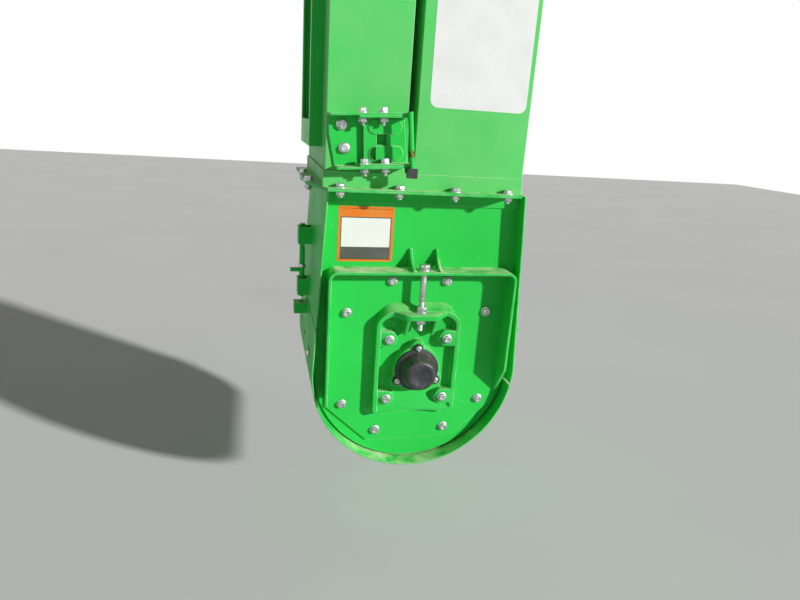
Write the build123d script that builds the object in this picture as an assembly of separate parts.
from build123d import *
import math
import os

# Clean grain elevator of a combine harvester, in millimetres.
# X runs along the machine, Y runs into it, Z runs up the elevator.
# The origin is the centre of the auger inlet flange, on the axis of the lower shaft.

# Sheet and plate thicknesses
SHEET = 3.0
LEG_SHEET = 2.0
COVER_THICK = 5.0
FLANGE_THICK = 6.0
CHANNEL_THICK = 4.0

# Named clearances
DOOR_GAP = 5.0
SEAT_GAP = 0.3
PIN_GAP = 0.06
KNUCKLE_GAP = 1.0
KNUCKLES = 5

# Lower boot
BOOT_RADIUS = 220.0
BOOT_DROP = 7.0
BOOT_TOP_HALF = 199.0
BOOT_TOP_Z = 369.0
BACK_FACE_Y = -6.0
FRONT_FACE_Y = -335.0
LIP_DEPTH = 32.0
INLET_RADIUS = 105.0
INLET_BOLT_CIRCLE = 250.0
INLET_BOLTS = 8
INLET_HOLE_RADIUS = 5.5
INLET_RING_RADIUS = 145.0

# Clean-out door, hinged low on the boot's right wall so that it swings clear of the end walls
DOOR_TOP_Z = 90.0
HINGE_Z = -42.0
DOOR_FLANGE = 20.0
DOOR_SLOT_Z = 16.0
DOOR_SLOT_LENGTH = 34.0
DOOR_SLOT_WIDTH = 9.0
DOOR_SLOT_Y = (-278.0, -173.0, -68.0)
SIDE_TAB_Z = 82.0
SIDE_TAB_HALF = 10.0
SIDE_TAB_REACH = 13.0
SIDE_TAB_Y = (-356.0, -350.0)
PIN_RADIUS = 5.0
KNUCKLE_RADIUS = 9.0
KNUCKLE_STAND_OFF = 10.5
LEAF_LENGTH = 34.0

# Latch on the boot's left wall: an upright rod in two box guides over a lug on the door
LATCH_Y = -150.0
LATCH_ROD_RADIUS = 6.0
LATCH_ROD_STAND_OFF = 11.0
LATCH_ROD_TOP_Z = 266.0
LATCH_ROD_LOW_Z = 98.0
LATCH_GUIDES = ((104.0, 142.0), (222.0, 260.0))
LATCH_GUIDE_HALF = 17.0
LATCH_LUG_Z = (60.0, 84.0)
LATCH_KNOB_Z = 160.0
LATCH_KNOB_LENGTH = 26.0
LATCH_KNOB_RADIUS = 5.0

# Shaft cover and its guard frame
COVER_MARGIN = 19.6
COVER_RISE = 52.0
COVER_SHOULDER_Z = -90.0
COVER_LOW_HALF = 96.0
GUARD_TOP_Z = 215.0
GUARD_DEPTH = 46.0
GUARD_CORNER = 18.0
GUARD_LOW_Z = -69.0
GUARD_SLANT_Z = 0.0
GUSSET_APEX_Z = 253.0
GUSSET_X = (-24.0, 31.0)
GUSSET_TIP = 5.0
GUSSET_HOLLOW = 4.0
GUSSET_NOTCH = 8.0

# Bearing carrier casting
CARRIER_HALF = 89.0
CARRIER_TOP_Z = 141.0
CARRIER_LOW_Z = -104.0
CARRIER_ARCH = 8.0
CARRIER_SHOULDER = 46.0
CARRIER_FOOT_CORNER = 12.0
CARRIER_FLOOR = 5.0
CARRIER_LAND = 22.0
CARRIER_RIM = 8.0
CARRIER_BOLT_X = 61.7
CARRIER_BOLT_Z = 66.7
CARRIER_BOSS_RADIUS = 18.0
CARRIER_HUB_RADIUS = 54.0
CARRIER_HUB_HEIGHT = 24.0
CARRIER_POCKET_HALF_Z = 48.0
CARRIER_POCKET_CORNER = 9.0
CARRIER_KIDNEY_LOW_Z = 82.0
CARRIER_EDGE_ROUND = 2.5
EAR_HALF = 36.0
EAR_SHOULDER = 15.0
EAR_LOW_Z = 108.0
EAR_HIGH_Z = 121.0
EAR_REACH = 38.0
EAR_RIB_THICK = 6.0
EAR_RIB_LOW_Z = 78.0
TAKE_UP_Y = -365.0
TAKE_UP_RADIUS = 6.0
NUT_ACROSS = 19.0
NUT_HEIGHT = 10.0
WASHER_RADIUS = 13.0
WASHER_THICK = 2.5

# Dust caps over the bearings
CAP_FLANGE_RADIUS = 46.5
CAP_FLANGE_THICK = 6.0
CAP_WALL_RADIUS = 41.0
CAP_WALL_DRAFT = 2.0
CAP_NOSE_RADIUS = 30.0
CAP_NOSE_ROUND = 3.0
CAP_HEIGHT = 40.0
CAP_CORNER = 7.0
CAP_NOSE_STEP = 2.5
CAP_BOLT_RADIUS = 48.0
CAP_LUG_RADIUS = 9.5
CAP_BORE_GAP = 2.0

# Shafts, sprockets and conveyor chain
CHAIN_Y = -156.0
SHAFT_RADIUS = 17.5
STUB_RADIUS = 15.0
STUB_LENGTH = 42.0
SPROCKET_TEETH = 11
CHAIN_PITCH = 41.4
RUN_LINKS = 63
PADDLE_STEP = 8
SPROCKET_THICK = 12.0
TOOTH_FOOT_HALF = 10.5
TOOTH_TIP_HALF = 4.0
TOOTH_TIP_RISE = 7.0
TOOTH_SINK = 4.0
ROLLER_GAP = 0.5
HUB_RADIUS = 32.0
HUB_LENGTH = 52.0
STRIP_HALF_HEIGHT = 9.0
STRIP_THICK = 4.0
STRIP_GAP = 15.0
ROLLER_RADIUS = 8.0
PADDLE_LENGTH = 90.0
PADDLE_WIDTH = 272.0
PADDLE_THICK = 9.0
PADDLE_CORNER = 14.0

# Legs between the boot and the head
LEG_LEFT_X = -205.0
RETURN_RIGHT_X = -56.0
CARRY_LEFT_X = -38.0
LEG_RIGHT_X = 182.0
LEG_FRONT_Y = -372.0
COLLAR_HEIGHT = 23.0
COLLAR_PROUD = 4.0
FLANGE_FRONT_Y = -400.0
FLANGE_LEFT_X = -234.0
FLANGE_RIGHT_X = 174.0
FLANGE_CORNER_X = 32.0
FLANGE_CORNER_Y = 98.0
FLANGE_LIP = 28.0
FLANGE_LIP_LEFT = 18.0
FLANGE_LIP_RIGHT = 4.0
FLANGE_LIP_CORNER = 9.0
CHANNEL_PROUD = 24.0
CHANNEL_FRONT_Y = -296.0
CHANNEL_BACK_Y = -80.0
CHANNEL_LOW_Z = 441.0
CHANNEL_SLOT_LOW_Z = 490.0
CHANNEL_SLOT_INSET = 17.0

# Bracket, slotted channel and prop on the front of the return leg, drawn level and then tilted
BRACKET_TILT = 3.5
BRACKET_MIDDLE = (-130.0, 460.0)
BRACKET_LEFT_X = -200.0
BRACKET_RIGHT_X = -54.0
BRACKET_LOW_Z = 413.0
BRACKET_TOP_Z = 509.0
BRACKET_PROUD = 42.0
BRACKET_KINK_Z = 473.0
BRACKET_SLANT = 9.0
SLIDE_LEFT_X = -139.0
SLIDE_RIGHT_X = -64.0
SLIDE_SLANT = 6.0
SLIDE_FLANGE_X = (-150.0, -56.0)
SLIDE_SET_BACK = 28.0
EMBOSS_PROUD = 2.0
EMBOSS_WIDTH = 26.0
EMBOSSED = (
    # left x, right x, middle z
    (-130.0, -68.0, 485.0),
    (-130.0, -66.0, 438.0),
)
D_HOLE_RADIUS = 12.0
SQUARE_HOLE_HALF = 9.0
SQUARE_HOLE_X = -106.0
SQUARE_HOLE_Z = 462.5
PROP_TOP_X = -64.0
PROP_TOP_Z = 515.0
PROP_LOW_X = -54.0
PROP_RADIUS = 5.0
PROP_FOOT_X = (-63.0, -45.5)
PROP_FOOT_Z = (401.0, 418.0)

# Head
HEAD_RADIUS = 205.0
HEAD_SKIRT = 240.0
HEAD_FRONT_Y = -372.0
THROAT_LENGTH = 120.0
THROAT_LOW_Z = -190.0
THROAT_HIGH_Z = 0.0
THROAT_FRONT_Y = -330.0
THROAT_BACK_Y = -40.0
THROAT_FLANGE = 32.0
THROAT_HOLE_RADIUS = 5.5
HEAD_FLANGE_REACH = 30.0
HEAD_BEARING_HALF = 60.0
HEAD_BEARING_CORNER = 18.0
HEAD_BEARING_THICK = 14.0
HEAD_BEARING_HUB = 44.0
HEAD_BEARING_HEIGHT = 32.0
SHOULDER_GAP = 2.0
LID_WIDTH = 260.0
LID_HEIGHT = 150.0
LID_TOP = -60.0
LID_LAP = 12.0
LID_DISH = 8.0
LID_HINGE_RISE = 11.0

# Machine brackets on the back of the legs
FRAME_BRACKET_LOW_Z = 900.0
FRAME_BRACKET_HIGH_Z = 1900.0
FRAME_BRACKET_HALF = 150.0
FRAME_BRACKET_HEIGHT = 90.0
FRAME_BRACKET_CORNER = 12.0
FRAME_HOLE_RADIUS = 6.5
FRAME_HOLE_X = 120.0
FRAME_HOLE_Z = 25.0

# Values worked out from the driving sizes
BOOT_CENTRE_Z = -BOOT_DROP
LIP_Y = FRONT_FACE_Y - LIP_DEPTH
COVER_FACE_Y = FRONT_FACE_Y - COVER_THICK
FLANGE_LOW_Z = BOOT_TOP_Z
FLANGE_MID_Z = BOOT_TOP_Z + FLANGE_THICK
FLANGE_HIGH_Z = BOOT_TOP_Z + 2 * FLANGE_THICK
LEG_LOW_Z = FLANGE_HIGH_Z + COLLAR_HEIGHT
PITCH_RADIUS = CHAIN_PITCH / (2 * math.sin(math.pi / SPROCKET_TEETH))
TOOTH_ANGLE = 360.0 / SPROCKET_TEETH
HALF_TOOTH = math.radians(TOOTH_ANGLE / 2)
LAST_ROLLER_DROP = PITCH_RADIUS * (1 - math.cos(HALF_TOOTH))
RUN_OFFSET = math.sqrt(CHAIN_PITCH**2 - LAST_ROLLER_DROP**2) - PITCH_RADIUS * math.sin(HALF_TOOTH)
HEAD_SHAFT_Z = RUN_LINKS * CHAIN_PITCH + RUN_OFFSET
HEAD_LOW_Z = HEAD_SHAFT_Z - HEAD_SKIRT
LEG_TOP_Z = HEAD_LOW_Z - 2 * FLANGE_THICK
CARRIER_SEAT_Y = COVER_FACE_Y - CARRIER_HUB_HEIGHT
HEAD_SEAT_Y = HEAD_FRONT_Y - HEAD_BEARING_HEIGHT
LOWER_SHAFT_FRONT_Y = CARRIER_SEAT_Y - CAP_HEIGHT / 2
LOWER_SHAFT_BACK_Y = 0.0
HEAD_SHAFT_FRONT_Y = HEAD_SEAT_Y - CAP_HEIGHT / 2
HEAD_SHAFT_BACK_Y = BACK_FACE_Y + HEAD_BEARING_HEIGHT + SHOULDER_GAP


def along_y(face, low, high):
    """Extrudes a face drawn in X and Z from Y = low to Y = high."""
    return extrude(Plane.XZ.offset(-low) * face, amount=low - high)


def along_x(face, low, high):
    """Extrudes a face drawn in Y and Z from X = low to X = high."""
    return extrude(Plane.YZ.offset(low) * face, amount=high - low)


def along_z(face, low, high):
    """Extrudes a face drawn in X and Y from Z = low to Z = high."""
    return extrude(Plane.XY.offset(low) * face, amount=high - low)


def block(x, y, z):
    """A box between three pairs of limits."""
    size = [high - low for low, high in (x, y, z)]
    centre = [(high + low) / 2 for low, high in (x, y, z)]
    return Pos(*centre) * Box(*size)


def polygon(*points):
    return make_face(Polyline(*points, close=True))


def rectangle_face(x, y):
    """A rectangle between two pairs of limits, in the plane that it is drawn in."""
    return polygon((x[0], y[0]), (x[1], y[0]), (x[1], y[1]), (x[0], y[1]))


def rod_y(x, z, radius, low, high):
    return Pos(x, (low + high) / 2, z) * Rot(90, 0, 0) * Cylinder(radius, high - low)


def rod_z(x, y, radius, low, high):
    return Pos(x, y, (low + high) / 2) * Cylinder(radius, high - low)


def quarter_turn(centre, radius, start):
    """A quarter circle, anticlockwise from a start angle in degrees, about a centre."""
    x, z = centre
    turns = [math.radians(start + step) for step in (0, 45, 90)]
    return ThreePointArc(*[(x + radius * math.cos(turn), z + radius * math.sin(turn)) for turn in turns])


def boot_half(z):
    """Outer half width of the boot at a height on its straight, tapered walls."""
    share = (z - BOOT_CENTRE_Z) / (BOOT_TOP_Z - BOOT_CENTRE_Z)
    return BOOT_RADIUS + (BOOT_TOP_HALF - BOOT_RADIUS) * share


def boot_face(inset):
    """The boot's outline seen along the shaft: tapered walls on a round bottom."""
    radius = BOOT_RADIUS - inset
    half = BOOT_TOP_HALF - inset
    low = BOOT_CENTRE_Z
    walls = Polyline((-radius, low), (-half, BOOT_TOP_Z), (half, BOOT_TOP_Z), (radius, low))
    return make_face(walls + ThreePointArc((radius, low), (0, low - radius), (-radius, low)))


def beyond_door(side, z):
    """A region of one side of the boot above a height, drawn in X and Z."""
    outer = side * BOOT_RADIUS * 2
    return polygon((0, z), (outer, z), (outer, BOOT_TOP_Z * 2), (0, BOOT_TOP_Z * 2))


def boot_wall_band():
    return boot_face(0) - boot_face(SHEET)


def boot_side(side, low):
    """One fixed side wall, from above the door up to the flange, with its front lip."""
    face = boot_wall_band() & beyond_door(side, low)
    return along_y(face, LIP_Y, BACK_FACE_Y)


def boot_right_wall():
    """Right side wall with the small three-cornered tab behind its lip."""
    edge = boot_half(SIDE_TAB_Z) - SHEET / 2
    tab = polygon(
        (edge, SIDE_TAB_Z - SIDE_TAB_HALF),
        (edge + SIDE_TAB_REACH, SIDE_TAB_Z),
        (edge, SIDE_TAB_Z + SIDE_TAB_HALF),
    )
    return boot_side(1, HINGE_Z + DOOR_GAP / 2) + along_y(tab, *SIDE_TAB_Y)


def boot_end_face():
    """Front and back walls fill the fixed walls and stay clear of the door below them."""
    upper = beyond_door(-1, DOOR_TOP_Z + DOOR_GAP) + beyond_door(1, HINGE_Z + DOOR_GAP)
    return (boot_face(SHEET) & upper) + boot_face(SHEET + DOOR_GAP)


def boot_front_wall():
    wall = along_y(boot_end_face(), FRONT_FACE_Y, FRONT_FACE_Y + SHEET)
    return wall - along_y(shaft_slot(CARRIER_HUB_RADIUS), FRONT_FACE_Y, FRONT_FACE_Y + SHEET)


def shaft_slot(radius):
    """Upright slot that lets the bearing carrier slide when the chain is tightened."""
    return SlotOverall(2 * radius + 2 * EAR_REACH, 2 * radius, rotation=90)


def boot_back_wall():
    wall = along_y(boot_end_face(), BACK_FACE_Y - SHEET, BACK_FACE_Y)
    return wall - rod_y(0, 0, INLET_RADIUS, BACK_FACE_Y - SHEET, BACK_FACE_Y)


def inlet_ring():
    """Flange ring that the auger trough bolts to."""
    ring = rod_y(0, 0, INLET_RING_RADIUS, BACK_FACE_Y, 0)
    ring -= rod_y(0, 0, INLET_RADIUS, BACK_FACE_Y, 0)
    for index in range(INLET_BOLTS):
        angle = 2 * math.pi * (index + 0.5) / INLET_BOLTS
        x = INLET_BOLT_CIRCLE / 2 * math.cos(angle)
        z = INLET_BOLT_CIRCLE / 2 * math.sin(angle)
        ring -= rod_y(x, z, INLET_HOLE_RADIUS, BACK_FACE_Y, 0)
    return ring


def door_shell():
    """Round bottom and left panel of the clean-out door, with a sealing flange at each end."""
    fixed = beyond_door(-1, DOOR_TOP_Z) + beyond_door(1, HINGE_Z - DOOR_GAP / 2)
    skin = along_y(boot_wall_band() - fixed, LIP_Y, BACK_FACE_Y)
    ring = boot_face(0) - boot_face(SHEET + DOOR_FLANGE) - fixed
    front_low = FRONT_FACE_Y + SHEET + DOOR_GAP
    back_high = BACK_FACE_Y - SHEET - DOOR_GAP
    skin += along_y(ring, front_low, front_low + SHEET)
    skin += along_y(ring, back_high - SHEET, back_high)
    slot = SlotOverall(DOOR_SLOT_LENGTH, DOOR_SLOT_WIDTH)
    for y in DOOR_SLOT_Y:
        skin -= along_x(Pos(y, DOOR_SLOT_Z) * slot, -BOOT_RADIUS - SHEET, -BOOT_RADIUS + 2 * SHEET)
    return skin


def boot_edge(z):
    """Distance of the boot's outer skin from its middle plane at any height."""
    if z >= BOOT_CENTRE_Z:
        return boot_half(z)
    return math.sqrt(BOOT_RADIUS**2 - (z - BOOT_CENTRE_Z) ** 2)


def hinge_x():
    return boot_edge(HINGE_Z) + KNUCKLE_STAND_OFF


def strap_face(side, low, high):
    """A strap that lies on the boot's skin between two heights, drawn in X and Z."""
    window = rectangle_face(sorted((0, side * 2 * BOOT_RADIUS)), (low, high))
    return (boot_face(-SHEET) - boot_face(0)) & window


def stand_off_face(side, low, high, reach):
    """What stands out of the boot's skin as far as X = reach between two heights."""
    return rectangle_face(sorted((0, side * reach)), (low, high)) - boot_face(0)


def knuckle_stations():
    """Y limits of the hinge knuckles in order, fixed ones first and last."""
    low = FRONT_FACE_Y + SHEET + KNUCKLE_RADIUS
    width = (BACK_FACE_Y - SHEET - low - (KNUCKLES - 1) * KNUCKLE_GAP) / KNUCKLES
    starts = [low + (width + KNUCKLE_GAP) * index for index in range(KNUCKLES)]
    return [(start, start + width) for start in starts]


def hinge_knuckles(moving):
    """The door's or the boot's knuckles with their straps."""
    if moving:
        straps = strap_face(1, HINGE_Z - LEAF_LENGTH, HINGE_Z - DOOR_GAP / 2)
    else:
        straps = strap_face(1, HINGE_Z + DOOR_GAP / 2, HINGE_Z + LEAF_LENGTH)
    way = -1 if moving else 1
    web = sorted((HINGE_Z + way * DOOR_GAP / 2, HINGE_Z + way * (DOOR_GAP / 2 + SHEET)))
    straps += stand_off_face(1, *web, hinge_x())
    shape = Part()
    for index, (low, high) in enumerate(knuckle_stations()):
        if (index % 2 == 1) == moving:
            shape += along_y(straps, low, high) + rod_y(hinge_x(), HINGE_Z, KNUCKLE_RADIUS, low, high)
            shape -= rod_y(hinge_x(), HINGE_Z, PIN_RADIUS + PIN_GAP, low, high)
    return shape


def hinge_pin():
    low = knuckle_stations()[0][0]
    high = knuckle_stations()[-1][1]
    head = rod_y(hinge_x(), HINGE_Z, KNUCKLE_RADIUS - KNUCKLE_GAP, low - SHEET, low)
    return rod_y(hinge_x(), HINGE_Z, PIN_RADIUS, low, high) + head


def latch_x():
    return -(boot_half(LATCH_LUG_Z[0]) + LATCH_ROD_STAND_OFF)


def latch_rod():
    """Upright latch rod with its cross knob."""
    rod = rod_z(latch_x(), LATCH_Y, LATCH_ROD_RADIUS, LATCH_ROD_LOW_Z, LATCH_ROD_TOP_Z)
    knob = Pos(latch_x() - LATCH_KNOB_LENGTH / 2, LATCH_Y, LATCH_KNOB_Z) * Rot(0, 90, 0)
    return rod + knob * Cylinder(LATCH_KNOB_RADIUS, LATCH_KNOB_LENGTH)


def latch_guides():
    """Two folded box guides on the fixed wall, through which the latch rod slides."""
    reach = -latch_x() + LATCH_ROD_RADIUS + SHEET + KNUCKLE_GAP
    outer = (LATCH_Y - LATCH_GUIDE_HALF, LATCH_Y + LATCH_GUIDE_HALF)
    inner = (outer[0] + SHEET, outer[1] - SHEET)
    rod_side = (LATCH_Y - LATCH_ROD_RADIUS - SEAT_GAP, LATCH_Y + LATCH_ROD_RADIUS + SEAT_GAP)
    shape = Part()
    for low, high in LATCH_GUIDES:
        hollow = stand_off_face(-1, low, high, reach - SHEET) - boot_face(-SHEET)
        floor = hollow & rectangle_face((-reach, 0), (low, low + SHEET))
        shape += along_y(stand_off_face(-1, low, high, reach), *outer) - along_y(hollow, *inner)
        shape += along_y(floor, inner[0], rod_side[0]) + along_y(floor, rod_side[1], inner[1])
    return shape


def latch_lug():
    """Lug on the door under the latch rod's foot."""
    face = stand_off_face(-1, *LATCH_LUG_Z, -latch_x() + LATCH_GUIDE_HALF)
    lug = along_y(face, LATCH_Y - LATCH_GUIDE_HALF, LATCH_Y + LATCH_GUIDE_HALF)
    return lug - rod_z(latch_x(), LATCH_Y, LATCH_ROD_RADIUS + SEAT_GAP, *LATCH_LUG_Z)


def cover_half():
    """Half width of the cover, which keeps a margin inside the boot above and below."""
    return min(boot_edge(GUARD_TOP_Z), boot_edge(GUARD_LOW_Z)) - COVER_MARGIN


def cover_plate():
    """Plate over the shaft opening, cut to a blunt V at the bottom."""
    half = cover_half()
    low = BOOT_CENTRE_Z - BOOT_RADIUS + COVER_RISE
    outline = guard_face(COVER_THICK) + polygon(
        (-half, GUARD_LOW_Z),
        (-half, COVER_SHOULDER_Z),
        (-COVER_LOW_HALF, low),
        (COVER_LOW_HALF, low),
        (half, COVER_SHOULDER_Z),
        (half, GUARD_LOW_Z),
    )
    plate = along_y(outline, COVER_FACE_Y, FRONT_FACE_Y)
    return plate - along_y(shaft_slot(CARRIER_HUB_RADIUS), COVER_FACE_Y, FRONT_FACE_Y)


def guard_face(inset):
    """Outline of the guard frame: square below, rounded at its upper corners."""
    half = cover_half() + COVER_THICK - inset
    top = GUARD_TOP_Z - inset
    radius = GUARD_CORNER - inset
    edge = half - radius
    rise = top - radius
    path = quarter_turn((edge, rise), radius, 0) + Line((edge, top), (-edge, top))
    path += quarter_turn((-edge, rise), radius, 90)
    path += Polyline((-half, rise), (-half, GUARD_LOW_Z), (half, GUARD_LOW_Z), (half, rise))
    return make_face(path)


def gusset_face(front):
    """Three-cornered gusset with a hollow front edge and a relief notch in its square corner."""
    apex = (FRONT_FACE_Y - GUSSET_TIP, GUSSET_APEX_Z)
    toe = (front + GUSSET_TIP, GUARD_TOP_Z + GUSSET_TIP / 2)
    middle = ((apex[0] + toe[0]) / 2 + GUSSET_HOLLOW, (apex[1] + toe[1]) / 2 - GUSSET_HOLLOW)
    path = ThreePointArc(apex, middle, toe)
    path += Polyline(
        toe,
        (front + GUSSET_TIP, GUARD_TOP_Z),
        (FRONT_FACE_Y - GUSSET_NOTCH, GUARD_TOP_Z),
        (FRONT_FACE_Y, GUARD_TOP_Z + GUSSET_NOTCH),
        (FRONT_FACE_Y, GUSSET_APEX_Z),
        apex,
    )
    return make_face(path)


def guard_frame():
    """Deep strip bent round the cover on three sides, with two gussets on its shelf."""
    front = COVER_FACE_Y - GUARD_DEPTH
    frame = along_y(guard_face(0) - guard_face(COVER_THICK), front, FRONT_FACE_Y)
    slant = polygon((front, GUARD_SLANT_Z), (front, GUARD_LOW_Z), (COVER_FACE_Y, GUARD_LOW_Z))
    frame -= along_x(slant, cover_half(), cover_half() + COVER_THICK)
    for x in GUSSET_X:
        frame += along_x(gusset_face(front), x - COVER_THICK / 2, x + COVER_THICK / 2)
    hole = TAKE_UP_RADIUS + SEAT_GAP
    return frame - rod_z(0, TAKE_UP_Y, hole, GUARD_TOP_Z - 2 * COVER_THICK, GUARD_TOP_Z + SHEET)


def carrier_face():
    """Outline of the casting: round shoulders with a dip for the ear, an arched foot below."""
    shoulder_x = CARRIER_HALF - CARRIER_SHOULDER
    shoulder_z = CARRIER_TOP_Z - CARRIER_SHOULDER
    foot_x = CARRIER_HALF - CARRIER_FOOT_CORNER
    foot_z = CARRIER_LOW_Z + CARRIER_FOOT_CORNER
    path = quarter_turn((shoulder_x, shoulder_z), CARRIER_SHOULDER, 0)
    path += Line((shoulder_x, CARRIER_TOP_Z), (-shoulder_x, CARRIER_TOP_Z))
    path += quarter_turn((-shoulder_x, shoulder_z), CARRIER_SHOULDER, 90)
    path += Line((-CARRIER_HALF, shoulder_z), (-CARRIER_HALF, foot_z))
    path += quarter_turn((-foot_x, foot_z), CARRIER_FOOT_CORNER, 180)
    arch = (0, CARRIER_LOW_Z + CARRIER_ARCH)
    path += ThreePointArc((-foot_x, CARRIER_LOW_Z), arch, (foot_x, CARRIER_LOW_Z))
    path += quarter_turn((foot_x, foot_z), CARRIER_FOOT_CORNER, 270)
    path += Line((CARRIER_HALF, foot_z), (CARRIER_HALF, shoulder_z))
    dip = polygon(
        (-EAR_HALF - EAR_SHOULDER, CARRIER_TOP_Z),
        (-EAR_HALF, EAR_HIGH_Z),
        (EAR_HALF, EAR_HIGH_Z),
        (EAR_HALF + EAR_SHOULDER, CARRIER_TOP_Z),
    )
    return make_face(path) - dip


def carrier_pockets():
    """All that is sunk into the casting: trays beside the hub, kidneys and a nut pocket above it."""
    half = CARRIER_HALF - CARRIER_RIM
    trays = RectangleRounded(2 * half, 2 * CARRIER_POCKET_HALF_Z, CARRIER_POCKET_CORNER)
    kidneys = offset(carrier_face(), -CARRIER_RIM)
    kidneys &= rectangle_face((-half, half), (CARRIER_KIDNEY_LOW_Z, CARRIER_TOP_Z))
    for side in (-1, 1):
        rib_x = sorted((side * EAR_HALF, side * (EAR_HALF - EAR_RIB_THICK)))
        kidneys -= rectangle_face(rib_x, (0, CARRIER_TOP_Z))
        kidneys -= Pos(side * CARRIER_BOLT_X, CARRIER_BOLT_Z) * Circle(CARRIER_BOSS_RADIUS)
        trays -= Pos(side * CARRIER_BOLT_X, CARRIER_BOLT_Z) * Circle(CARRIER_BOSS_RADIUS)
        trays -= Pos(side * CARRIER_BOLT_X, -CARRIER_BOLT_Z) * Circle(CARRIER_BOSS_RADIUS)
    return trays - Circle(CARRIER_HUB_RADIUS) + kidneys


def bearing_carrier():
    """Casting that holds the lower bearing: pocketed plate, hub, and ribbed ear for the take-up bolt."""
    floor_y = COVER_FACE_Y - CARRIER_FLOOR
    land_y = COVER_FACE_Y - CARRIER_LAND
    ear_y = COVER_FACE_Y - EAR_REACH
    body = along_y(carrier_face(), land_y, COVER_FACE_Y)
    outer_edges = body.faces().sort_by(Axis.Y)[0].outer_wire().edges()
    body = fillet(outer_edges, CARRIER_EDGE_ROUND)
    body -= along_y(carrier_pockets(), land_y, floor_y)
    body += rod_y(0, 0, CARRIER_HUB_RADIUS, CARRIER_SEAT_Y, floor_y)
    body += block((-EAR_HALF, EAR_HALF), (ear_y, floor_y), (EAR_LOW_Z, EAR_HIGH_Z))
    rib = polygon(
        (floor_y, EAR_LOW_Z), (ear_y, EAR_LOW_Z), (land_y, EAR_RIB_LOW_Z), (floor_y, EAR_RIB_LOW_Z)
    )
    for side in (-1, 1):
        body += along_x(rib, *sorted((side * EAR_HALF, side * (EAR_HALF - EAR_RIB_THICK))))
    body -= rod_z(0, TAKE_UP_Y, TAKE_UP_RADIUS + SEAT_GAP, EAR_LOW_Z, EAR_HIGH_Z)
    return body - rod_y(0, 0, SHAFT_RADIUS + SEAT_GAP, ear_y, COVER_FACE_Y)


def bearing_cap(z, seat_y):
    """Dust cap over a bearing: three-lug flange and a tapered, round-nosed cup."""
    profile = Polyline(
        (0, 0),
        (CAP_WALL_RADIUS, 0),
        (CAP_WALL_RADIUS - CAP_WALL_DRAFT, CAP_FLANGE_THICK),
        (CAP_NOSE_RADIUS + CAP_NOSE_ROUND, CAP_HEIGHT - CAP_CORNER),
        (CAP_NOSE_RADIUS, CAP_HEIGHT - CAP_NOSE_STEP),
        (CAP_NOSE_RADIUS - CAP_CORNER, CAP_HEIGHT),
        (0, CAP_HEIGHT),
        (0, 0),
    )
    cup = revolve(Plane.XZ * make_face(profile), Axis.Z)
    flange = Circle(CAP_FLANGE_RADIUS)
    for angle in (90, 210, 330):
        x = CAP_BOLT_RADIUS * math.cos(math.radians(angle))
        y = CAP_BOLT_RADIUS * math.sin(math.radians(angle))
        flange += Pos(x, y) * Circle(CAP_LUG_RADIUS)
    cup += extrude(flange, amount=CAP_FLANGE_THICK)
    cup -= extrude(Circle(SHAFT_RADIUS + CAP_BORE_GAP), amount=CAP_HEIGHT - 2 * SHEET)
    return Pos(0, seat_y, z) * Rot(90, 0, 0) * cup


def hex_z(x, y, low, high, across):
    return Pos(x, y, low) * extrude(RegularPolygon(across / math.sqrt(3), 6), amount=high - low)


def take_up_bolt():
    """Chain take-up bolt between the guard's shelf and the carrier's ear."""
    low = EAR_LOW_Z - 2 * NUT_HEIGHT
    bolt = rod_z(0, TAKE_UP_Y, TAKE_UP_RADIUS, low, GUARD_TOP_Z + WASHER_THICK)
    stack = (
        (GUARD_TOP_Z + SEAT_GAP, 1),
        (EAR_HIGH_Z + SEAT_GAP, 1),
        (EAR_LOW_Z - SEAT_GAP, -1),
    )
    for seat, way in stack:
        washer = sorted((seat, seat + way * WASHER_THICK))
        nut = sorted((seat + way * WASHER_THICK, seat + way * (WASHER_THICK + NUT_HEIGHT)))
        bolt += rod_z(0, TAKE_UP_Y, WASHER_RADIUS, *washer)
        bolt += hex_z(0, TAKE_UP_Y, *nut, NUT_ACROSS)
    return bolt


def flange_face():
    """Plan of the joint flange: cut back at its front corners as on the machine."""
    return polygon(
        (FLANGE_LEFT_X + FLANGE_CORNER_X, FLANGE_FRONT_Y),
        (FLANGE_RIGHT_X, FLANGE_FRONT_Y),
        (BOOT_TOP_HALF + FLANGE_THICK, FRONT_FACE_Y),
        (BOOT_TOP_HALF + FLANGE_THICK, BACK_FACE_Y),
        (FLANGE_LEFT_X, BACK_FACE_Y),
        (FLANGE_LEFT_X, FLANGE_FRONT_Y + FLANGE_CORNER_Y),
    )


def boot_flange():
    """Flange on the boot's top, an angle whose upright leg lies on the front wall."""
    inner_x = (-BOOT_TOP_HALF + SHEET, LEG_RIGHT_X - SHEET)
    inner_y = (FRONT_FACE_Y + SHEET, BACK_FACE_Y - SHEET)
    plate = along_z(flange_face() - rectangle_face(inner_x, inner_y), FLANGE_LOW_Z, FLANGE_MID_Z)
    left = FLANGE_LIP_LEFT - BOOT_TOP_HALF
    right = BOOT_TOP_HALF - FLANGE_LIP_RIGHT
    lip = RectangleRounded(right - left, 2 * FLANGE_LIP, FLANGE_LIP_CORNER)
    lip = Pos((left + right) / 2, FLANGE_LOW_Z) * lip
    lip &= rectangle_face((-BOOT_TOP_HALF, BOOT_TOP_HALF), (FLANGE_LOW_Z - FLANGE_LIP, FLANGE_LOW_Z))
    return plate + along_y(lip, FRONT_FACE_Y - CHANNEL_THICK, FRONT_FACE_Y)


def leg_holes(inset):
    """The two leg sections in plan, for a hole or a tube's inside."""
    y = (LEG_FRONT_Y + inset, BACK_FACE_Y - inset)
    left = rectangle_face((LEG_LEFT_X + inset, RETURN_RIGHT_X - inset), y)
    right = rectangle_face((CARRY_LEFT_X + inset, LEG_RIGHT_X - inset), y)
    return left, right


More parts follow.
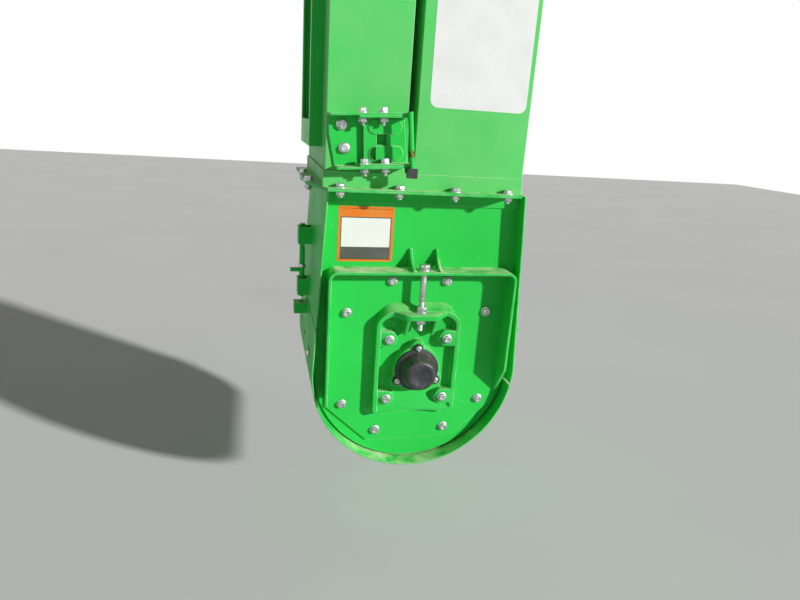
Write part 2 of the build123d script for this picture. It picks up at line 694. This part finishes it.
def leg_flange():
    """Upper flange plate at the foot of the legs, open for both chain runs."""
    plate = along_z(flange_face(), FLANGE_MID_Z, FLANGE_HIGH_Z)
    for hole in leg_holes(SHEET):
        plate -= along_z(hole, FLANGE_MID_Z, FLANGE_HIGH_Z)
    return plate


def collar():
    """Low box between the flange and the legs, open for both of them."""
    front = LEG_FRONT_Y - COLLAR_PROUD
    outer = rectangle_face((LEG_LEFT_X - COLLAR_PROUD, LEG_RIGHT_X), (front, BACK_FACE_Y))
    shape = along_z(outer, FLANGE_HIGH_Z, LEG_LOW_Z)
    inner = rectangle_face((LEG_LEFT_X, LEG_RIGHT_X - SHEET), (LEG_FRONT_Y, BACK_FACE_Y - SHEET))
    shape -= along_z(inner, FLANGE_HIGH_Z, LEG_LOW_Z - SHEET)
    for hole in leg_holes(SHEET):
        shape -= along_z(hole, LEG_LOW_Z - SHEET, LEG_LOW_Z)
    return shape


def leg_tube(index):
    """One leg as four sheets, the side ones between the front and back ones; return leg first."""
    left, right = ((LEG_LEFT_X, RETURN_RIGHT_X), (CARRY_LEFT_X, LEG_RIGHT_X))[index]
    height = (LEG_LOW_Z, LEG_TOP_Z)
    sides = (LEG_FRONT_Y + LEG_SHEET, BACK_FACE_Y - LEG_SHEET)
    sheets = [
        block((left, right), (LEG_FRONT_Y, LEG_FRONT_Y + LEG_SHEET), height),
        block((left, right), (BACK_FACE_Y - LEG_SHEET, BACK_FACE_Y), height),
        block((left, left + LEG_SHEET), sides, height),
        block((right - LEG_SHEET, right), sides, height),
    ]
    return Compound(children=sheets)


def side_channel():
    """Slotted stiffening channel up the return leg's left wall."""
    outer = rectangle_face((LEG_LEFT_X - CHANNEL_PROUD, LEG_LEFT_X), (CHANNEL_FRONT_Y, CHANNEL_BACK_Y))
    hollow = rectangle_face(
        (LEG_LEFT_X - CHANNEL_PROUD + SHEET, LEG_LEFT_X),
        (CHANNEL_FRONT_Y + SHEET, CHANNEL_BACK_Y - SHEET),
    )
    high = LEG_TOP_Z - CHANNEL_PROUD
    shape = along_z(outer - hollow, CHANNEL_LOW_Z, high)
    window = block(
        (LEG_LEFT_X - CHANNEL_PROUD, LEG_LEFT_X - CHANNEL_PROUD + SHEET),
        (CHANNEL_FRONT_Y + CHANNEL_SLOT_INSET, CHANNEL_BACK_Y - CHANNEL_SLOT_INSET),
        (CHANNEL_SLOT_LOW_Z, high - CHANNEL_PROUD),
    )
    return shape - window


def tilted(shape):
    """Turns what is drawn level about the bracket's middle, its right end up."""
    x, z = BRACKET_MIDDLE
    return Pos(x, 0, z) * Rot(0, -BRACKET_TILT, 0) * Pos(-x, 0, -z) * shape


def bracket_front_y():
    return LEG_FRONT_Y - BRACKET_PROUD


def leg_bracket():
    """Channel bracket across the return leg's front: a web with a slanted edge and two flanges."""
    y = (bracket_front_y(), LEG_FRONT_Y)
    foot_x = BRACKET_LEFT_X + BRACKET_SLANT
    web = polygon(
        (BRACKET_LEFT_X, BRACKET_TOP_Z),
        (BRACKET_LEFT_X, BRACKET_KINK_Z),
        (foot_x, BRACKET_LOW_Z),
        (BRACKET_RIGHT_X, BRACKET_LOW_Z),
        (BRACKET_RIGHT_X, BRACKET_TOP_Z),
    )
    bracket = along_y(web, LEG_FRONT_Y - CHANNEL_THICK, LEG_FRONT_Y)
    for left, low in ((foot_x, BRACKET_LOW_Z), (BRACKET_LEFT_X, BRACKET_TOP_Z - CHANNEL_THICK)):
        bracket += block((left, BRACKET_RIGHT_X), y, (low, low + CHANNEL_THICK))
    return tilted(bracket)


def slide_plate():
    """Channel bolted inside the bracket, its web set back: two pads, a square and a D-shaped hole."""
    front = bracket_front_y() + SLIDE_SET_BACK
    back = front + CHANNEL_THICK
    low = BRACKET_LOW_Z + CHANNEL_THICK
    high = BRACKET_TOP_Z - CHANNEL_THICK
    outline = polygon(
        (SLIDE_LEFT_X, high),
        (SLIDE_LEFT_X, low),
        (SLIDE_RIGHT_X + SLIDE_SLANT, low),
        (SLIDE_RIGHT_X, high),
    )
    plate = along_y(outline, front, back)
    for z in ((low, low + CHANNEL_THICK), (high - CHANNEL_THICK, high)):
        plate += block(SLIDE_FLANGE_X, (bracket_front_y(), back), z)
    for left, right, z in EMBOSSED:
        pad = Pos((left + right) / 2, z) * SlotOverall(right - left, EMBOSS_WIDTH)
        plate += along_y(pad, front - EMBOSS_PROUD, front)
    square_x = (SQUARE_HOLE_X - SQUARE_HOLE_HALF, SQUARE_HOLE_X + SQUARE_HOLE_HALF)
    square_z = (SQUARE_HOLE_Z - SQUARE_HOLE_HALF, SQUARE_HOLE_Z + SQUARE_HOLE_HALF)
    hole = rectangle_face(square_x, square_z)
    left, right, z = EMBOSSED[1]
    round_end = Pos(left + EMBOSS_WIDTH / 2, z) * Circle(D_HOLE_RADIUS)
    hole += round_end & rectangle_face((left, left + EMBOSS_WIDTH / 2), (low, SQUARE_HOLE_Z))
    return tilted(plate - along_y(hole, front - EMBOSS_PROUD, back))


def prop_y():
    return bracket_front_y() - SEAT_GAP - PROP_RADIUS


def prop_rod():
    """Round prop that leans in front of the bracket's flanges, cut level on its foot."""
    top = Vector(PROP_TOP_X, prop_y(), PROP_TOP_Z)
    foot = Vector(PROP_LOW_X, prop_y(), PROP_FOOT_Z[1])
    lean = (top - foot).normalized()
    start = foot - lean * PROP_RADIUS
    rod = extrude(Plane(origin=start, z_dir=lean) * Circle(PROP_RADIUS), amount=(top - start).length)
    reach = (PROP_TOP_X - 2 * PROP_RADIUS, PROP_LOW_X + 2 * PROP_RADIUS)
    depth = (prop_y() - PROP_RADIUS, prop_y() + PROP_RADIUS)
    return rod & block(reach, depth, (PROP_FOOT_Z[1], PROP_TOP_Z + PROP_RADIUS))


def prop_foot():
    """Square foot on the prop's lower end."""
    return block(PROP_FOOT_X, (prop_y() - 2 * PROP_RADIUS, prop_y() + PROP_RADIUS), PROP_FOOT_Z)


def sprocket_and_shaft(z, phase, front, shoulder):
    """A shaft with its toothed wheel, hub and reduced drive stub in one piece."""
    shape = rod_y(0, z, SHAFT_RADIUS, front, shoulder)
    shape += rod_y(0, z, STUB_RADIUS, shoulder, shoulder + STUB_LENGTH)
    shape += rod_y(0, z, HUB_RADIUS, CHAIN_Y - HUB_LENGTH / 2, CHAIN_Y + HUB_LENGTH / 2)
    root = PITCH_RADIUS - ROLLER_RADIUS - ROLLER_GAP
    tip = PITCH_RADIUS + TOOTH_TIP_RISE
    wheel = Circle(root)
    tooth = polygon(
        (root - TOOTH_SINK, -TOOTH_FOOT_HALF),
        (tip, -TOOTH_TIP_HALF),
        (tip, TOOTH_TIP_HALF),
        (root - TOOTH_SINK, TOOTH_FOOT_HALF),
    )
    for index in range(SPROCKET_TEETH):
        wheel += Rot(0, 0, phase + TOOTH_ANGLE * (index + 0.5)) * tooth
    half = SPROCKET_THICK / 2
    return shape + Pos(0, 0, z) * along_y(wheel, CHAIN_Y - half, CHAIN_Y + half)


def roller_places():
    """Each roller's X and Z and its outward direction, once round the loop."""
    places = []
    for way in (1, -1):
        centre = HEAD_SHAFT_Z / 2
        for index in range(RUN_LINKS + 1):
            z = CHAIN_PITCH * index - centre
            places.append((way * PITCH_RADIUS, centre + way * z, way, 0.0))
        for index in range(SPROCKET_TEETH // 2):
            angle = HALF_TOOTH * (1 + 2 * index)
            out_x = math.cos(angle)
            out_z = math.sin(angle)
            top = centre + PITCH_RADIUS * out_z
            places.append((way * PITCH_RADIUS * out_x, centre + way * top, way * out_x, way * out_z))
    return places


def chain_loop():
    """Conveyor chain as one closed loop: two side strips joined by its rollers."""
    places = roller_places()
    strip = polygon(*[(x + ox * STRIP_HALF_HEIGHT, z + oz * STRIP_HALF_HEIGHT) for x, z, ox, oz in places])
    strip -= polygon(*[(x - ox * STRIP_HALF_HEIGHT, z - oz * STRIP_HALF_HEIGHT) for x, z, ox, oz in places])
    gap = STRIP_GAP / 2
    near = along_y(strip, CHAIN_Y - gap - STRIP_THICK, CHAIN_Y - gap)
    far = along_y(strip, CHAIN_Y + gap, CHAIN_Y + gap + STRIP_THICK)
    rollers = Sketch() + [Pos(x, z) * RegularPolygon(ROLLER_RADIUS, 6) for x, z, ox, oz in places]
    middle = along_y(rollers, CHAIN_Y - gap, CHAIN_Y + gap)
    return near.fuse(*middle.solids(), far)


def paddles():
    """Flat rubber paddles with cut corners, each on the outside of the chain at its own link."""
    places = roller_places()
    pieces = []
    foot = STRIP_HALF_HEIGHT + SEAT_GAP
    tip = foot + PADDLE_LENGTH
    half = PADDLE_WIDTH / 2
    outline = polygon(
        (foot, -half),
        (tip - PADDLE_CORNER, -half),
        (tip, PADDLE_CORNER - half),
        (tip, half - PADDLE_CORNER),
        (tip - PADDLE_CORNER, half),
        (foot, half),
    )
    paddle = along_z(outline, -PADDLE_THICK / 2, PADDLE_THICK / 2)
    half_way = len(places) // 2
    carrying = places[PADDLE_STEP // 2 : half_way - PADDLE_STEP // 2 : PADDLE_STEP]
    returning = places[half_way::PADDLE_STEP]
    for x, z, out_x, out_z in carrying + returning:
        turn = -math.degrees(math.atan2(out_z, out_x))
        pieces.append(Pos(x, CHAIN_Y, z) * Rot(0, turn, 0) * paddle)
    return Compound(children=pieces)


def head_face(inset):
    """Outline of the head: straight skirt below, round over the shaft."""
    radius = HEAD_RADIUS - inset
    right = (radius, HEAD_SHAFT_Z)
    left = (-radius, HEAD_SHAFT_Z)
    walls = Polyline(right, (radius, HEAD_LOW_Z), (-radius, HEAD_LOW_Z), left)
    return make_face(walls + ThreePointArc(left, (0, HEAD_SHAFT_Z + radius), right))


def head_flange_face():
    reach = HEAD_RADIUS + HEAD_FLANGE_REACH
    return rectangle_face((-reach, reach), (HEAD_FRONT_Y - HEAD_FLANGE_REACH, BACK_FACE_Y))


def leg_top_flange():
    plate = along_z(head_flange_face(), LEG_TOP_Z, LEG_TOP_Z + FLANGE_THICK)
    for hole in leg_holes(SHEET):
        plate -= along_z(hole, LEG_TOP_Z, LEG_TOP_Z + FLANGE_THICK)
    return plate


def head_flange():
    inner_x = (-HEAD_RADIUS + SHEET, HEAD_RADIUS - SHEET)
    inner_y = (HEAD_FRONT_Y + SHEET, BACK_FACE_Y - SHEET)
    face = head_flange_face() - rectangle_face(inner_x, inner_y)
    return along_z(face, HEAD_LOW_Z - FLANGE_THICK, HEAD_LOW_Z)


def throat_limits(inset):
    y = (THROAT_FRONT_Y + inset, THROAT_BACK_Y - inset)
    z = (HEAD_SHAFT_Z + THROAT_LOW_Z + inset, HEAD_SHAFT_Z + THROAT_HIGH_Z - inset)
    return y, z


def lid_limits(grow):
    mid = (HEAD_FRONT_Y + BACK_FACE_Y) / 2
    y = (mid - LID_WIDTH / 2 - grow, mid + LID_WIDTH / 2 + grow)
    z = (HEAD_SHAFT_Z + LID_TOP - LID_HEIGHT - grow, HEAD_SHAFT_Z + LID_TOP + grow)
    return y, z


def head_shell():
    """The head's skin over both sides and the top, open at the throat and under the lid."""
    skin = along_y(head_face(0) - head_face(SHEET), HEAD_FRONT_Y, BACK_FACE_Y)
    skin -= block((-HEAD_RADIUS, 0), *throat_limits(SHEET))
    return skin - block((0, HEAD_RADIUS), *lid_limits(0))


def head_end(low):
    wall = along_y(head_face(SHEET), low, low + SHEET)
    return wall - rod_y(0, HEAD_SHAFT_Z, SHAFT_RADIUS + SHEET, low, low + SHEET)


def head_bearing(seat_y, way):
    """Square flanged bearing on an end wall of the head."""
    face = RectangleRounded(2 * HEAD_BEARING_HALF, 2 * HEAD_BEARING_HALF, HEAD_BEARING_CORNER)
    span = sorted((seat_y, seat_y + way * HEAD_BEARING_THICK))
    body = Pos(0, 0, HEAD_SHAFT_Z) * along_y(face, *span)
    tall = sorted((seat_y, seat_y + way * HEAD_BEARING_HEIGHT))
    body += rod_y(0, HEAD_SHAFT_Z, HEAD_BEARING_HUB, *tall)
    return body - rod_y(0, HEAD_SHAFT_Z, SHAFT_RADIUS + SEAT_GAP, *tall)


def discharge_throat():
    """Short square duct through which the grain leaves the head."""
    y_out, z_out = throat_limits(0)
    y_in, z_in = throat_limits(SHEET)
    x = (-HEAD_RADIUS - THROAT_LENGTH, -HEAD_RADIUS)
    return block(x, y_out, z_out) - block(x, y_in, z_in)


def discharge_flange():
    y_out, z_out = throat_limits(-THROAT_FLANGE)
    y_in, z_in = throat_limits(0)
    x = (-HEAD_RADIUS - THROAT_LENGTH, -HEAD_RADIUS - THROAT_LENGTH + FLANGE_THICK)
    plate = block(x, y_out, z_out) - block(x, y_in, z_in)
    edge = THROAT_FLANGE / 2
    for y in (y_in[0] - edge, y_in[1] + edge):
        for z in (z_in[0] - edge, z_in[1] + edge):
            plate -= along_x(Pos(y, z) * Circle(THROAT_HOLE_RADIUS), *x)
    return plate


def lid_hinge_x():
    return HEAD_RADIUS + KNUCKLE_STAND_OFF


def lid_hinge_z():
    return lid_limits(LID_LAP)[1][1] + LID_HINGE_RISE


def head_lid():
    """Inspection lid on the head's right wall: a dished cover over a lapped opening."""
    y_lap, z_lap = lid_limits(LID_LAP)
    x = (HEAD_RADIUS + SEAT_GAP, HEAD_RADIUS + SEAT_GAP + SHEET)
    plate = block(x, y_lap, z_lap)
    y_dish, z_dish = lid_limits(-LID_LAP)
    dish = block((x[0], x[1] + LID_DISH), y_dish, z_dish)
    return plate + dish - block((x[0], x[1] + LID_DISH - SHEET), *lid_limits(-LID_LAP - SHEET))


def lid_knuckles(moving):
    """Lid hinge knuckles with their straps; the lid's own are the inner pair."""
    y_lap, z_lap = lid_limits(LID_LAP)
    width = (y_lap[1] - y_lap[0] - (KNUCKLES - 1) * KNUCKLE_GAP) / KNUCKLES
    shape = Part()
    x = lid_hinge_x()
    z = lid_hinge_z()
    for index in range(KNUCKLES):
        if (index % 2 == 1) != moving:
            continue
        low = y_lap[0] + (width + KNUCKLE_GAP) * index
        knuckle = rod_y(x, z, KNUCKLE_RADIUS, low, low + width)
        wall = HEAD_RADIUS + SEAT_GAP
        if moving:
            foot = z_lap[1] - 2 * LID_LAP + SEAT_GAP
            strap = block((wall + SHEET, wall + 2 * SHEET), (low, low + width), (foot, z))
        else:
            strap = block((HEAD_RADIUS, HEAD_RADIUS + SHEET), (low, low + width), (z, z + LEAF_LENGTH))
        knuckle += strap
        knuckle -= rod_y(x, z, PIN_RADIUS + PIN_GAP, low, low + width)
        shape += knuckle
    return shape


def lid_pin():
    y_lap, z_lap = lid_limits(LID_LAP)
    return rod_y(lid_hinge_x(), lid_hinge_z(), PIN_RADIUS, y_lap[0] - SHEET, y_lap[1] + SHEET)


def machine_bracket(level):
    """Plate behind the legs that bolts to the machine's side frame."""
    plate = RectangleRounded(2 * FRAME_BRACKET_HALF, FRAME_BRACKET_HEIGHT, FRAME_BRACKET_CORNER)
    plate = Pos(0, level) * plate
    for side_x in (-1, 1):
        for side_z in (-1, 1):
            plate -= Pos(side_x * FRAME_HOLE_X, level + side_z * FRAME_HOLE_Z) * Circle(FRAME_HOLE_RADIUS)
    return along_y(plate, BACK_FACE_Y, BACK_FACE_Y + FLANGE_THICK)


NODES = {
    "boot_front_wall": boot_front_wall,
    "boot_back_wall": boot_back_wall,
    "boot_left_wall": lambda: boot_side(-1, DOOR_TOP_Z + DOOR_GAP),
    "boot_right_wall": boot_right_wall,
    "inlet_ring": inlet_ring,
    "cover_plate": cover_plate,
    "guard_frame": guard_frame,
    "bearing_carrier": bearing_carrier,
    "bearing_cap": lambda: bearing_cap(0, CARRIER_SEAT_Y - SEAT_GAP),
    "take_up_bolt": take_up_bolt,
    "boot_flange": boot_flange,
    "leg_flange": leg_flange,
    "collar": collar,
    "return_leg": lambda: leg_tube(0),
    "carrying_leg": lambda: leg_tube(1),
    "side_channel": side_channel,
    "leg_bracket": leg_bracket,
    "slide_plate": slide_plate,
    "prop_rod": prop_rod,
    "prop_foot": prop_foot,
    "latch_guides": latch_guides,
    "latch_rod": latch_rod,
    "boot_hinge": lambda: hinge_knuckles(False),
    "boot_hinge_pin": hinge_pin,
    "cleanout_door": door_shell,
    "door_hinge": lambda: hinge_knuckles(True),
    "latch_lug": latch_lug,
    "lower_shaft": lambda: sprocket_and_shaft(0, 0, LOWER_SHAFT_FRONT_Y, LOWER_SHAFT_BACK_Y),
    "chain_loop": chain_loop,
    "paddles": paddles,
    "leg_top_flange": leg_top_flange,
    "head_flange": head_flange,
    "head_shell": head_shell,
    "head_front_wall": lambda: head_end(HEAD_FRONT_Y),
    "head_back_wall": lambda: head_end(BACK_FACE_Y - SHEET),
    "head_shaft": lambda: sprocket_and_shaft(
        HEAD_SHAFT_Z, TOOTH_ANGLE / 2, HEAD_SHAFT_FRONT_Y, HEAD_SHAFT_BACK_Y
    ),
    "head_bearing_front": lambda: head_bearing(HEAD_FRONT_Y, -1),
    "head_bearing_back": lambda: head_bearing(BACK_FACE_Y, 1),
    "head_bearing_cap": lambda: bearing_cap(HEAD_SHAFT_Z, HEAD_SEAT_Y - SEAT_GAP),
    "discharge_throat": discharge_throat,
    "discharge_flange": discharge_flange,
    "lid_hinge": lambda: lid_knuckles(False),
    "lid_hinge_pin": lid_pin,
    "head_lid": head_lid,
    "lid_straps": lambda: lid_knuckles(True),
    "machine_bracket_low": lambda: machine_bracket(FRAME_BRACKET_LOW_Z),
    "machine_bracket_high": lambda: machine_bracket(FRAME_BRACKET_HIGH_Z),
}

os.makedirs("parts", exist_ok=True)
for name, build in NODES.items():
    export_step(build(), f"parts/{name}.step")
